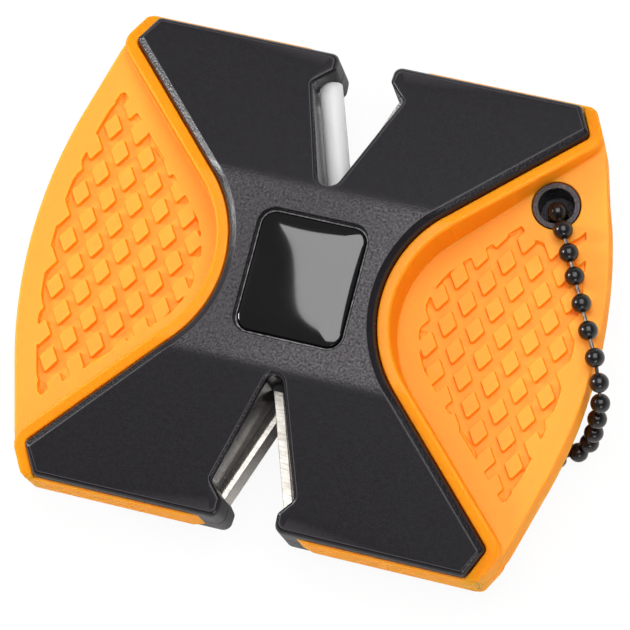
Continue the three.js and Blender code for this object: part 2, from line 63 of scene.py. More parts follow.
def soft_box(name, direction, distance, width, height, power, roll=0):
    box = bpy.data.lights.new(name, "AREA")
    box.shape = "RECTANGLE"
    box.size = width
    box.size_y = height
    box.energy = power
    lamp = bpy.data.objects.new(name, box)
    towards = Vector(direction).normalized()
    lamp.location = towards * distance
    rolled = Matrix.Rotation(math.radians(roll), 3, "Z")
    lamp.rotation_euler = (towards.to_track_quat("Z", "Y").to_matrix() @ rolled).to_euler()
    bpy.context.collection.objects.link(lamp)


soft_box("top_box", (0.144, 0.219, 0.965), distance=0.50, width=0.42, height=0.36, power=2.2, roll=-36.5)
soft_box("side_box_left", (-0.85, -0.05, 0.53), distance=0.55, width=0.13, height=0.13, power=1.7)
soft_box("edge_box_front", (0.42, -0.72, 0.55), distance=0.60, width=0.20, height=0.09, power=0.55)


def feed(tree, socket, value):
    """A socket given a plain value, or linked to another node's output."""
    if isinstance(value, bpy.types.NodeSocket):
        tree.links.new(value, socket)
    else:
        socket.default_value = value


def step(tree, kind, settings=None, **sockets):
    """One node of a tree, with its sockets fed by name."""
    node = tree.nodes.new(kind)
    for setting, value in (settings or {}).items():
        setattr(node, setting, value)
    for label, value in sockets.items():
        feed(tree, node.inputs[label.replace("_", " ")], value)
    return node


def worked(tree, operation, *values):
    """The result of one sum on plain values and outputs."""
    node = step(tree, "ShaderNodeMath", {"operation": operation})
    for value, socket in zip(values, node.inputs):
        feed(tree, socket, value)
    return node.outputs[0]


def ranged(tree, value, from_low, from_high, to_low, to_high, smooth=False):
    """A value carried from one range to another, held at its ends."""
    kind = {"interpolation_type": "SMOOTHSTEP" if smooth else "LINEAR"}
    return step(tree, "ShaderNodeMapRange", kind, Value=value, From_Min=from_low, From_Max=from_high,
                To_Min=to_low, To_Max=to_high).outputs[0]


def axis(tree, vector, label):
    return step(tree, "ShaderNodeSeparateXYZ", Vector=vector).outputs[label]


def either(tree, share, first, second):
    """The first shader, or the second one where share is 1."""
    mix = step(tree, "ShaderNodeMixShader", Fac=share)
    for socket, shader in zip(mix.inputs[1:], (first, second)):
        feed(tree, socket, shader.outputs[0])
    return mix


white = (1, 1, 1, 1)
air_light = 0.36
overhead = 0.16
air_low, air_high = 0.05, 0.60

air = bpy.data.worlds.new("studio_air")
bpy.context.scene.world = air
air.use_nodes = True
tree = air.node_tree
tree.nodes.clear()
seen = step(tree, "ShaderNodeLightPath").outputs
upward = axis(tree, step(tree, "ShaderNodeTexCoord").outputs["Generated"], "Z")
darkening = ranged(tree, upward, air_low, air_high, 1.0, overhead, smooth=True)
ambient = step(tree, "ShaderNodeBackground", Color=white, Strength=air_light)
mirrored = step(tree, "ShaderNodeBackground", Color=white, Strength=darkening)
backdrop = step(tree, "ShaderNodeBackground", Color=white, Strength=1.0)
lit_or_mirrored = either(tree, seen["Is Glossy Ray"], ambient, mirrored)
in_view = worked(tree, "MAXIMUM", seen["Is Camera Ray"], seen["Is Transmission Ray"])
shown = either(tree, in_view, lit_or_mirrored, backdrop)
step(tree, "ShaderNodeOutputWorld", Surface=shown.outputs[0])

table_half = 3.0
table_drop = 2e-4
table_white = 0.93

table_mesh = bpy.data.meshes.new("studio_table")
corners = [(sx * table_half, sy * table_half, -table_drop) for sx, sy in ((-1, -1), (1, -1), (1, 1), (-1, 1))]
table_mesh.from_pydata(corners, [], [(0, 1, 2, 3)])
table = bpy.data.objects.new("studio_table", table_mesh)
bpy.context.collection.objects.link(table)
pale = bpy.data.materials.new("pale_table")
pale.use_nodes = True
tree = pale.node_tree
paint = tree.nodes["Principled BSDF"]
paint.inputs["Base Color"].default_value = (0.95, 0.95, 0.95, 1)
paint.inputs["Roughness"].default_value = 1.0
paint.inputs["Specular IOR Level"].default_value = 0.0
glow = step(tree, "ShaderNodeEmission", Strength=1.0)
in_view = step(tree, "ShaderNodeLightPath").outputs["Is Camera Ray"]
shown = either(tree, worked(tree, "MULTIPLY", in_view, table_white), paint, glow)
feed(tree, tree.nodes["Material Output"].inputs["Surface"], shown.outputs[0])
table_mesh.materials.append(pale)

# ---------------------------------------------------------------------------------------------
# Shells: the two black halves of the body, injection moulded in glass-filled plastic with a fine
# eroded grain. They meet on a parting line half way up and carry the eyelet sleeve in the right wing.
# Sizes are in millimetres, and a rise is a height above the parting line.

parting_height = 11.0
hub_rise = 11.0
hub_half_length = 11.5
arm_fall = math.radians(17)
crease_radius = 8.0
waist_centre = np.array((26.0, 0.0))
waist_radius = 16.0
arm_corner = np.array((29.7, 26.7))
arm_end = np.array((27.75, 30.6))
arm_corner_round = 0.75
nose_round = 1.1
step_round = 0.9
mouth_round = 0.8
bevel_marks = np.array((0.0, 0.26, 0.30, 0.35, 0.96, 1.02, 1.08, 1.15, 1.22))
bevel_falls = np.array((1.10, 0.56, 0.50, 0.46, 0.090, 0.055, 0.028, 0.008, 0.0))
edge_round = 0.62
front_slot_tip = 13.8
front_slot_round = 1.5
front_slot_mouth = np.array((5.9, 26.0))
back_slot_tip = 13.55
back_slot_round = 1.05
back_slot_mouth = np.array((5.3, 26.3))
nose_half_gap = 3.6
nose_step = 28.3
badge_half = np.array((6.8, 7.8))
badge_round = 1.9
badge_gap = 0.25
badge_recess = 1.1
recess_lip = 0.3
recess_wall = 0.03
skirt_height = 0.14
skirt_lean = 0.12
screw_place = np.array((15.0, 20.0))
screw_recess = 2.4
screw_seat = 3.6
eyelet_centre = np.array((27.53, 17.66))
sleeve_outer = 3.0
sleeve_bore = 2.2
sleeve_top = 3.36
chain_axis = np.array((27.6, 17.4))
collar_outer = 2.7
collar_bore = 1.275
collar_low, collar_high = 1.1, 3.1
collar_bevel = np.array((0.085, 0.1))
field_rise = 3.4
bridge_half = 1.9
bridge_end = 13.4
bridge_rise = 5.0
bridge_round = 0.5
bridge_lap = 2.0
past_edge = 40.0
border_steps = 20
border_length = 25.0
crease_steps = 8

border_angle = math.atan2(arm_corner[1], arm_corner[0] - waist_centre[0])
border_angle += math.acos(waist_radius / np.hypot(*(arm_corner - waist_centre)))
border_run = np.array((math.sin(border_angle), -math.cos(border_angle)))
border_normal = np.array((-math.cos(border_angle), -math.sin(border_angle)))
border_start = waist_centre - waist_radius * border_normal
corner_run = (arm_end - arm_corner) / np.hypot(*(arm_end - arm_corner))
corner_normal = np.array((corner_run[1], -corner_run[0]))


def arc(centre, radius, first, last, steps):
    angle = np.linspace(first, last, steps + 1)
    return np.column_stack((centre[0] + radius * np.cos(angle), centre[1] + radius * np.sin(angle)))


def circle(centre, radius, steps):
    return arc(centre, radius, 0, 2 * math.pi, steps)


def rounded(corners, closed=False, every=12):
    """A path through corners (x, y, radius) with its corners rounded, one point for each few degrees."""
    path = []
    count = len(corners)
    for i, (x, y, radius) in enumerate(corners):
        corner = np.array((x, y))
        if radius <= 0 or (not closed and i in (0, count - 1)):
            path.append(corner)
            continue
        before = np.array(corners[i - 1][:2]) - corner
        after = np.array(corners[(i + 1) % count][:2]) - corner
        length_before, length_after = np.hypot(*before), np.hypot(*after)
        before, after = before / length_before, after / length_after
        half = math.acos(np.clip(before @ after, -1, 1)) / 2
        run = min(radius / math.tan(half), 0.49 * length_before, 0.49 * length_after)
        fitted = run * math.tan(half)
        middle = (before + after) / np.hypot(*(before + after))
        centre = corner + middle * fitted / math.sin(half)
        first = corner + before * run - centre
        last = corner + after * run - centre
        start = math.atan2(first[1], first[0])
        turn = (math.atan2(last[1], last[0]) - start + math.pi) % (2 * math.pi) - math.pi
        steps = max(2, math.ceil(abs(math.degrees(turn)) / every))
        path.extend(arc(centre, fitted, start, start + turn, steps))
    return np.array(path)


def rectangle(half, radius, every):
    """A rectangle about the middle with its corners rounded."""
    x, y = half
    corners = ((x, -y), (x, y), (-x, y), (-x, -y))
    return rounded([(*corner, radius) for corner in corners], closed=True, every=every)


def fourfold(front, back):
    """A front and a back quarter outline, from the X axis to the Y axis, carried round to the other side."""
    flips = [front, front[::-1] * (-1, 1), back * (-1, -1), back[::-1] * (1, -1)]
    return np.concatenate([part[:-1] for part in flips])


def both_halves(half):
    """A line that starts on the X axis, carried on to the other side of it."""
    return np.concatenate((half[:0:-1] * (1, -1), half))


def loop_normals(loop):
    """Inward mitre vectors of an anticlockwise loop: a step of one along them moves each side by one."""
    side = np.roll(loop, -1, 0) - loop
    normal = np.column_stack((-side[:, 1], side[:, 0])) / np.hypot(*side.T)[:, None]
    other = np.roll(normal, 1, 0)
    return (normal + other) / (1 + (normal * other).sum(1))[:, None]


def inset(loop, depth):
    return loop + loop_normals(loop) * depth


def line_distance(points, line):
    best = np.full(len(points), 1e9)
    for start, end in zip(line[:-1], line[1:]):
        run = end - start
        share = np.clip((points - start) @ run / (run @ run), 0, 1)
        best = np.minimum(best, np.hypot(*(points - start - share[:, None] * run).T))
    return best


def inside(points, loop):
    x, y = points.T
    hit = np.zeros(len(points), bool)
    for (ax, ay), (bx, by) in zip(loop, np.roll(loop, -1, 0)):
        if ay != by:
            hit ^= ((ay > y) != (by > y)) & (x < (bx - ax) * (y - ay) / (by - ay) + ax)
    return hit


def closed_line(loop):
    return np.concatenate((loop, loop[:1]))


def outside_by(points, loop):
    """How far outside a loop a point lies, and less than nothing inside it."""
    return line_distance(points, closed_line(loop)) * np.where(inside(points, loop), -1, 1)


def fillet(depth, radius):
    """How far a rounded edge has dropped at a depth inside the outline."""
    short = np.clip(radius - depth, 0, radius)
    return radius - np.sqrt(radius ** 2 - short ** 2)


fillet_steps = np.array((0.0, 0.09, 0.26, 0.54, 1.0))


def doubled_areas(plan, faces):
    """Twice the area of each triangle, less than nothing where its corners run clockwise."""
    a, b, c = plan[faces].transpose(1, 0, 2)
    (ux, uy), (vx, vy) = (b - a).T, (c - a).T
    return ux * vy - uy * vx


def triangulated(lines, keep):
    """Triangles over a plan drawn with lines. Crossings are split, and keep() picks what is plastic."""
    spots, sides = [], []
    for line in lines:
        first = len(spots)
        spots.extend(Vector(p) for p in line)
        sides.extend((first + k, first + k + 1) for k in range(len(line) - 1))
    found = delaunay_2d_cdt(spots, sides, [], 0, 1e-4)
    plan = np.array([p[:] for p in found[0]])
    faces = np.array(found[2])
    area = doubled_areas(plan, faces)
    centres = plan[faces].mean(1)
    faces[area < 0] = faces[area < 0][:, ::-1]
    faces = faces[keep(centres) & (np.abs(area) > 1e-9)]
    used, small = np.unique(faces, return_inverse=True)
    return plan[used], small.reshape(-1, 3)


needle_height = 3e-5


def moulded(plan, faces, top, skirt):
    """A closed body: relief faces on top, walls down through the skirt's rings, and a flat underside."""
    sides = {(a, b) for face in faces for a, b in zip(face, np.roll(face, -1))}
    after = dict((a, b) for a, b in sides if (b, a) not in sides)
    points = [np.column_stack((plan, top))]
    shapes = [tuple(face) for face in faces]
    base = len(plan)
    corners, feet, foot_sides = [], [], []
    while after:
        order = [next(iter(after))]
        while order[-1] in after:
            order.append(after.pop(order[-1]))
        above = np.array(order[:-1])
        count = len(above)
        for ring in skirt(plan[above], top[above]):
            points.append(ring)
            below = base + np.arange(count)
            base += count
            for k in range(count):
                n = (k + 1) % count
                shapes.append((above[n], above[k], below[k], below[n]))
            above = below
        first = len(corners)
        corners.extend(above)
        feet.append(ring[:, :2])
        foot_sides.extend((first + k, first + (k + 1) % count) for k in range(count))
    found = delaunay_2d_cdt([Vector(p) for p in np.concatenate(feet)], foot_sides, [], 0, 1e-7)
    spots = np.array([p[:] for p in found[0]])
    under = np.array(found[2])
    area = doubled_areas(spots, under)
    longest = np.hypot(*(spots[under[:, 1:]] - spots[under[:, :1]]).transpose(2, 0, 1)).max(1)
    solid = np.zeros(len(under), bool)
    for foot in feet:
        solid ^= inside(spots[under].mean(1), foot)
    for k in np.flatnonzero(solid & (np.abs(area) >= needle_height * longest)):
        face = [corners[found[3][v][0]] for v in under[k]]
        shapes.append(tuple(face[::-1] if area[k] > 0 else face))
    return np.concatenate(points), shapes


def plain_skirt(height, lean):
    """Walls straight down to a small height, and drawn in from there to the parting line."""
    def rings(loop, _):
        yield np.column_stack((loop, np.full(len(loop), height)))
        yield np.column_stack((inset(loop, lean), np.zeros(len(loop))))
    return rings


def lathed(profile, segments, x=0.0, y=0.0):
    """A closed profile of (radius, rise) points turned about an upright axis. Points on the axis close it."""
    points, shapes, rings = [], [], []
    for radius, rise in profile:
        if radius < 1e-6:
            rings.append([len(points)] * segments)
            points.append((x, y, rise))
        else:
            rings.append(list(range(len(points), len(points) + segments)))
            angle = np.arange(segments) * 2 * math.pi / segments
            points.extend((x + radius * math.cos(a), y + radius * math.sin(a), rise) for a in angle)
    for low, high in zip(rings, rings[1:] + rings[:1]):
        for k in range(segments):
            n = (k + 1) % segments
            corners = list(dict.fromkeys((low[k], low[n], high[n], high[k])))
            if len(corners) > 2:
                shapes.append(tuple(corners))
    return np.array(points), shapes


def gathered(parts):
    points, shapes, base = [], [], 0
    for spots, faces in parts:
        points.append(spots)
        shapes.extend(tuple(base + v for v in face) for face in faces)
        base += len(spots)
    return np.concatenate(points), shapes


def flipped(part, sx=1, sy=1, sz=1):
    spots, faces = part
    if sx * sy * sz < 0:
        faces = [face[::-1] for face in faces]
    return spots * (sx, sy, sz), faces


def piece(name, part, material, body, nodes, sharp=38, recalculate=False):
    """A finished piece from millimetre points about the parting line, shaded, and set in the frame."""
    spots, faces = part
    mesh = bpy.data.meshes.new(name)
    mesh.from_pydata((spots + (0, 0, parting_height)) / 1000, [], faces)
    cleaned = bmesh.new()
    cleaned.from_mesh(mesh)
    bmesh.ops.remove_doubles(cleaned, verts=cleaned.verts, dist=2e-8)
    if recalculate:
        bmesh.ops.recalc_face_normals(cleaned, faces=cleaned.faces)
    cleaned.to_mesh(mesh)
    cleaned.free()
    mesh.materials.append(material)
    mesh.shade_smooth()
    mesh.set_sharp_from_angle(angle=math.radians(sharp))
    made = bpy.data.objects.new(name, mesh)
    bpy.context.collection.objects.link(made)
    weighted = made.modifiers.new("even_shading", "WEIGHTED_NORMAL")
    weighted.keep_sharp = True
    shaded = made.evaluated_get(bpy.context.evaluated_depsgraph_get())
    plain = bpy.data.meshes.new_from_object(shaded)
    made.modifiers.clear()
    made.data = plain
    plain.name = name
    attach(made, body)
    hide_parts(*nodes)


def finish(name, sockets):
    """A material with plain values set on its shader, the noise coordinates ready beside it."""
    material = bpy.data.materials.new(name)
    material.use_nodes = True
    tree = material.node_tree
    shader = tree.nodes["Principled BSDF"]
    for socket, value in sockets.items():
        shader.inputs[socket].default_value = value
    return material, tree, shader, step(tree, "ShaderNodeTexCoord").outputs["Object"]


def speckle(tree, place, size_mm, detail, low=0, high=1, stretch=None):
    """Noise of a grain size in millimetres, spread between two values."""
    if stretch:
        turn, scale = stretch
        place = step(tree, "ShaderNodeMapping", Vector=place, Rotation=turn, Scale=scale).outputs["Vector"]
    grain = step(tree, "ShaderNodeTexNoise", Vector=place, Scale=1000 / size_mm, Detail=detail)
    return ranged(tree, grain.outputs[0], 0.3, 0.7, low, high)


def coloured(tree, shader, share, first, second):
    """The first colour, and the second one where share is 1."""
    mix = step(tree, "ShaderNodeMix", {"data_type": "RGBA"}, Factor=share, A=(*first, 1), B=(*second, 1))
    feed(tree, shader.inputs["Base Color"], mix.outputs["Result"])


def raised(tree, shader, height, strength, depth_mm):
    bump = step(tree, "ShaderNodeBump", Height=height, Strength=strength, Distance=depth_mm / 1000)
    feed(tree, shader.inputs["Normal"], bump.outputs["Normal"])


def times(tree, first, second):
    return worked(tree, "MULTIPLY", first, second)


def off_middle(tree, vector, label, middle=0.0):
    """How far a vector lies from a middle along one axis, to either side."""
    return worked(tree, "ABSOLUTE", worked(tree, "SUBTRACT", axis(tree, vector, label), middle))


# Where the finish of the black changes: by how upright a face looks, then by its place in metres. Last
# come its two colours, the lighter one a painted sheen, and how much painted sheen or glint, grain, matt
# or polish each place has.
level_looks = (0.90, 0.955)
bevel_looks = (0.79, 0.84)
crease_looks = ((0.912, 0.926), (0.938, 0.952))
wall_looks = (0.15, 0.60)
hub_end = (0.0103, 0.0124)
hub_shine = (-0.006, 0.009)
sleeve_end = (0.0038, 0.0042)
nose_start = (0.0262, 0.0275)
slot_side = (0.0085, 0.0095)
plain_black = (0.0085, 0.0073, 0.0095)
# The lighter grey is painted sheen on the grained hub, a painted glint on the crease and painted light on the
# eyelet ring.
painted_sheen_grey = (0.125, 0.115, 0.125)
hub_sheen_levels = (0.6, 1)
crease_glint, sleeve_painted_light = 0.54, 0.6
arm_matt, nose_matt = 0.12, 0.30
hub_polish, bevel_polish, slot_polish = 0.5, 0.06, 0.05
arm_grain, bevel_grain = 0.04, 0.12

black_grain, tree, shader, place = finish("black_grained_plastic", {"Specular IOR Level": 0.36})
facing = step(tree, "ShaderNodeNewGeometry").outputs["Normal"]
upright = off_middle(tree, facing, "Z")
along_arm = off_middle(tree, place, "Y")
level = ranged(tree, upright, *level_looks, 0, 1)
on_wall = ranged(tree, upright, *wall_looks, 1, 0)
on_sleeve = ranged(tree, off_middle(tree, place, "Z", parting_height / 1000), *sleeve_end, 1, 0)
on_sleeve = times(tree, on_sleeve, level)
on_hub = times(tree, ranged(tree, along_arm, *hub_end, 1, 0, smooth=True), level)
on_hub = worked(tree, "MAXIMUM", on_hub, on_sleeve)
on_bevel = worked(tree, "SUBTRACT", ranged(tree, upright, *bevel_looks, 0, 1), level)
on_crease = ranged(tree, upright, *crease_looks[0], 0, 1)
on_crease = times(tree, on_crease, ranged(tree, upright, *crease_looks[1], 1, 0))

coarse = speckle(tree, place, 0.31, 3)
# Painted sheen: the hub is painted a lighter grey in its speckled grain, brighter towards +X and -Y, for the soft
# box's sheen on it.
across = worked(tree, "SUBTRACT", axis(tree, place, "X"), times(tree, axis(tree, place, "Y"), 0.5))
speckled_sheen = times(tree, coarse, ranged(tree, across, *hub_shine, *hub_sheen_levels, smooth=True))
# The crease between bevel and roof gets a painted glint line of the lighter grey.
grain_sheen_and_glint = worked(tree, "MAXIMUM", times(tree, speckled_sheen, on_hub), times(tree, on_crease, crease_glint))
# The eyelet ring's top is painted lighter, painted light where it lies in the rim's shade.
grain_sheen_and_glint = worked(tree, "MAXIMUM", grain_sheen_and_glint, times(tree, on_sleeve, sleeve_painted_light))
coloured(tree, shader, grain_sheen_and_glint, plain_black, painted_sheen_grey)

matt = times(tree, worked(tree, "SUBTRACT", level, times(tree, on_hub, hub_polish)), arm_matt)
at_nose = times(tree, on_wall, ranged(tree, along_arm, *nose_start, 0, nose_matt))
in_slot = times(tree, on_wall, ranged(tree, off_middle(tree, place, "X"), *slot_side, slot_polish, 0))
matt = worked(tree, "ADD", matt, at_nose)
matt = worked(tree, "SUBTRACT", matt, times(tree, on_bevel, bevel_polish))
matt = worked(tree, "SUBTRACT", matt, in_slot)
matt = worked(tree, "ADD", matt, speckle(tree, place, 0.5, 4, 0.23, 0.31))
feed(tree, shader.inputs["Roughness"], matt)
grained = worked(tree, "MAXIMUM", on_hub, times(tree, on_bevel, bevel_grain))
fine = times(tree, speckle(tree, place, 0.20, 3), times(tree, level, arm_grain))
raised(tree, shader, worked(tree, "ADD", fine, times(tree, coarse, grained)), 1.0, 0.15)


def body_quarter(slot_tip, slot_round, slot_mouth):
    """A quarter of the body's plan: waist, arm corner, arm end, nose, step, slot wall and slot tip."""
    reach = slot_mouth - (0, slot_tip)
    tip_angle = math.atan2(reach[1], reach[0]) - math.acos(slot_round / np.hypot(*reach))
    return rounded([
        *((x, y, 0) for x, y in arc(waist_centre, waist_radius, math.pi, border_angle, border_steps)),
        (*arm_corner, arm_corner_round),
        (*arm_end, arm_corner_round),
        (nose_half_gap, arm_end[1], nose_round),
        (nose_half_gap, nose_step, step_round),
        (*slot_mouth, mouth_round),
        *((x, y, 0) for x, y in arc((0, slot_tip), slot_round, tip_angle, -math.pi / 2, 10)),
    ])


body_loop = fourfold(body_quarter(front_slot_tip, front_slot_round, front_slot_mouth),
                     body_quarter(back_slot_tip, back_slot_round, back_slot_mouth))
body_line = closed_line(body_loop)


def border_depth(points):
    """How far inside the black border a point lies."""
    x, y = np.abs(points).T
    on_arc = np.arctan2(y, x - waist_centre[0]) >= border_angle
    straight = -((x - border_start[0]) * border_normal[0] + (y - border_start[1]) * border_normal[1])
    return np.where(on_arc, np.hypot(x - waist_centre[0], y) - waist_radius, straight)


def border_line(offset):
    """The border moved into the black arm, from the waist out past the arm's end."""
    curve = arc(waist_centre, waist_radius + offset, math.pi, border_angle, border_steps)
    return np.concatenate((curve, curve[-1:] + border_run * border_length))


crease_start = hub_half_length - crease_radius * math.tan(arm_fall / 2)
crease_run = crease_radius * math.sin(arm_fall)


def roof(y):
    """Rise of the flat hub and the sloping arms, with the soft crease between them."""
    past = np.abs(y) - crease_start
    curved = np.clip(past, 0, crease_run)
    drop = crease_radius - np.sqrt(crease_radius ** 2 - curved ** 2)
    return hub_rise - drop - math.tan(arm_fall) * np.clip(past - crease_run, 0, None)


def bevel_drop(depth):
    """Drop of the border's edge: a steep lip beside the grip, a flat chamfer and a rounded crease."""
    return np.interp(depth, bevel_marks, bevel_falls)


recess_loop = rectangle(badge_half + badge_gap, badge_round + badge_gap, every=9)


def shell_rise(points, outside, floor):
    """Rise of a shell's top, and of the floor of a recess sunk in it with a rounded lip."""
    edge = fillet(line_distance(points, body_line), edge_round)
    rise = roof(points[:, 1]) - np.maximum(bevel_drop(border_depth(points)), edge)
    return np.where(outside < -recess_wall / 2, floor, rise - fillet(np.clip(outside, 0, None), recess_lip))


shell_lines = [closed_line(inset(body_loop, edge_round * share)) for share in fillet_steps]
for mark in bevel_marks[1:]:
    whole = both_halves(border_line(mark))
    shell_lines += [whole, whole * (-1, 1)]
for angle in np.linspace(0, arm_fall, crease_steps + 1):
    y = crease_start + crease_radius * math.sin(angle)
    shell_lines += [np.array(((-past_edge, s * y), (past_edge, s * y))) for s in (1, -1)]
shell_skirt = plain_skirt(skirt_height, skirt_lean)


def shell_part(rings, outside, floor):
    plan, faces = triangulated(shell_lines + rings, lambda p: inside(p, body_loop))
    return moulded(plan, faces, shell_rise(plan, outside(plan), floor), shell_skirt)


recess_rings = [closed_line(inset(recess_loop, -recess_lip * share)) for share in fillet_steps]
recess_rings.append(closed_line(inset(recess_loop, recess_wall)))
upper_part = shell_part(recess_rings, lambda p: outside_by(p, recess_loop), hub_rise - badge_recess)

screw_radii = (*(screw_recess + recess_lip * fillet_steps), screw_recess - recess_wall)
screw_rings = [circle(screw_place * (sx, sy), radius, 40)
               for sx in (-1, 1) for sy in (-1, 1) for radius in screw_radii]
lower_part = shell_part(screw_rings, lambda p: np.hypot(*(np.abs(p) - screw_place).T) - screw_recess, screw_seat)

sleeve = lathed([
    (sleeve_outer, 0.0), (sleeve_outer, sleeve_top - 0.14), (sleeve_outer - 0.05, sleeve_top - 0.04),
    (sleeve_outer - 0.14, sleeve_top), (sleeve_bore + 0.14, sleeve_top), (sleeve_bore + 0.04, sleeve_top - 0.07),
    (sleeve_bore, sleeve_top - 0.18), (sleeve_bore, 0.0),
], 56, *eyelet_centre)
collar_mouth, collar_ease = (collar_bore, 0) + collar_bevel
collar = lathed([
    (collar_outer, collar_low), (collar_outer, collar_high), (collar_mouth, collar_high),
    (collar_bore, collar_high - collar_ease), (collar_bore, collar_low + collar_ease), (collar_mouth, collar_low),
], 48, *chain_axis)

bridge_start = back_slot_tip - bridge_lap
foot_loop = rounded([
    (-bridge_half, -bridge_end, bridge_round), (bridge_half, -bridge_end, bridge_round),
    (bridge_half, -bridge_start, 0), (-bridge_half, -bridge_start, 0),
], closed=True)
bridge_plan, bridge_faces = triangulated([closed_line(foot_loop)], lambda p: inside(p, foot_loop))
bridge = moulded(bridge_plan, bridge_faces, np.full(len(bridge_plan), bridge_rise), shell_skirt)

piece("shell_top", gathered([upper_part, sleeve, bridge]), black_grain, "body", ["upper_shell"])
lower_half = gathered([lower_part, sleeve, collar, bridge])
piece("shell_bottom", flipped(lower_half, sz=-1), black_grain, "body", ["lower_shell"])

# ---------------------------------------------------------------------------------------------
# Grips: orange soft plastic moulded over the four half wings. Each has a rim along the black border,
# a flat field with a sunk diamond pattern, a ridge at each corner and a strip across each arm end.

grip_gap = 0.12
rim_width = 1.7
rim_drop = 1.1
rim_edge = 0.2
rim_inner = 0.30
shoulder_marks = (1.30, 1.50, 1.62, rim_width)
shoulder_falls = (0, 0.07, 0.2, 0.42)
foot_marks = (1.80, 1.88, 1.98, 2.15)
foot_shares = (1, 0.42, 0.12, 0)
foot_slope = 0.35
foot_most = 0.35
lap_start = 0.9
lap_end = 1.2
foot_lean = 0.1
wing_centre = np.array((-25.2, 0.0))
wing_radius = 62.25
wing_draft = 0.25
wing_run = 18.0
wing_edge = 0.30
wing_steps = 20
flare_lead = 1.0
flare_run = 4.0
brink = 0.01
hair = 0.001
wing_corner_round = 9.0
ridge_end = 30.8
ridge_round = 1.1
strip_rises = {"top": 3.6, "bottom": 2.65}
strip_front = 31.03
strip_back = 29.6
strip_start = 6.3
strip_ramp = 1.6
strip_edge = 0.2
strip_offsets = (1.2, 1.66)
strip_outer_round = 1.3
strip_inner_round = 0.8
strip_step = 0.45
pad_pitch = np.array((3.53, 3.113))
pad_column = 17.885
pad_half = np.array((1.15, 1.75))
pad_side_round = 0.3
pad_tip_round = 0.2
pad_rows = range(-8, 9)
pad_field = (8, 40)
pad_overhang = 2.3
pad_reach = 3.0
pad_none = 9.0
groove_depth = 0.8
groove_marks = np.array((0.0, 0.025, 0.10, 0.15, 0.24))
groove_fall = np.array((0.0, 0.05, 0.86, 0.96, 1.0))
groove_least = 0.15
pocket_border = 4.55
pocket_edge = 3.1
pocket_eyelet = 5.0
pocket_reach = 24.0
eyelet_hole = 3.12
eyelet_edge = 0.15
# The field's paler orange is a painted sheen; the rim's deeper orange, also used on steep walls, is partly
# painted shade.
rim_orange = (0.97, 0.272, 0.001)
field_orange_sheen = (0.97, 0.350, 0.034)
field_matt, steep_matt = 0.16, 0.30
steep_looks = (0.35, 0.80)
field_end = ((field_rise + 0.05) / 1000, (field_rise + 0.35) / 1000)

orange_soft, tree, shader, place = finish("orange_soft_plastic", {
    "Specular IOR Level": 0.24, "Subsurface Weight": 0.6, "Subsurface Scale": 0.0030,
    "Subsurface Radius": (1.0, 0.35, 0.08)})
facing = step(tree, "ShaderNodeNewGeometry").outputs["Normal"]
steep = ranged(tree, off_middle(tree, facing, "Z"), *steep_looks, 1, 0)
# Painted sheen and shade: level field faces get the paler orange, rims and steep walls the deeper, more saturated
# one.
field_sheen = ranged(tree, off_middle(tree, place, "Z", parting_height / 1000), *field_end, 1, 0)
field_sheen = times(tree, field_sheen, worked(tree, "SUBTRACT", 1.0, steep))
coloured(tree, shader, field_sheen, rim_orange, field_orange_sheen)
dull = worked(tree, "ADD", times(tree, field_sheen, field_matt), times(tree, steep, steep_matt))
dull = worked(tree, "ADD", dull, speckle(tree, place, 0.6, 3, 0.36, 0.46))
feed(tree, shader.inputs["Roughness"], dull)
raised(tree, shader, speckle(tree, place, 0.18, 2), 0.12, 0.015)


def corner_at(offset):
    """Where the border and the arm's short corner edge, both moved out into the grip, cross."""
    spread = offset / (1 + border_normal @ corner_normal)
    return arm_corner + (border_normal + corner_normal) * spread


def ridge_at(offset, y):
    start = arm_corner + corner_normal * offset
    return start + corner_run * (y - start[1]) / corner_run[1]


def grip_border(offset, far):
    """The border moved out into the grip, round the arm's corner and on past its end."""
    curve = arc(waist_centre, waist_radius - offset, math.pi, border_angle, border_steps)
    return rounded([*((x, y, 0) for x, y in curve), (*corner_at(offset), arm_corner_round + offset),
                    (*ridge_at(offset, far), 0)])


def wing_line(set_in, reach, steps=60):
    y = np.linspace(-reach, reach, steps + 1)
    return np.column_stack((wing_centre[0] + np.sqrt((wing_radius - set_in) ** 2 - y ** 2), y))


wing_top = wing_line(wing_draft, wing_run, 2 * wing_steps)
outer_half = rounded([
    *((x, y, 0) for x, y in wing_top[wing_steps:]),
    (*corner_at(rim_width), wing_corner_round),
    (*ridge_at(rim_width, ridge_end), ridge_round),
    (*ridge_at(grip_gap, ridge_end), 0),
])
inner_line = both_halves(grip_border(grip_gap, ridge_end))
outer_line = both_halves(outer_half)
grip_loop = np.concatenate((outer_line, inner_line[-2:0:-1]))
black_line = both_halves(grip_border(0.0, past_edge))


def pad_outline(spread):
    slope = math.hypot(1 / pad_half[0], 1 / pad_half[1])
    side, tip = pad_half * (1 + spread * slope)
    side_round, tip_round = pad_side_round + spread, pad_tip_round + spread
    return rounded([(side, 0, side_round), (0, tip, tip_round), (-side, 0, side_round), (0, -tip, tip_round)],
                   closed=True, every=20)


def pocket_depth(points, with_eyelet):
    """How far inside the sunk pocket of the field a point lies."""
    depth = np.minimum(-border_depth(points) - pocket_border,
                       wing_radius - pocket_edge - np.hypot(*(points - wing_centre).T))
    if with_eyelet:
        depth = np.minimum(depth, np.hypot(*(points - eyelet_centre).T) - pocket_eyelet)
    return depth


pad_places = []
for row in pad_rows:
    for column in pad_rows:
        x = pad_column + (column - (row % 2) / 2) * pad_pitch[0]
        if pad_field[0] < x < pad_field[1]:
            pad_places.append((x, row * pad_pitch[1]))
pad_places = np.array(pad_places)
pad_places = pad_places[pocket_depth(pad_places, False) > -pad_overhang]
pad_loop = pad_outline(0.0)


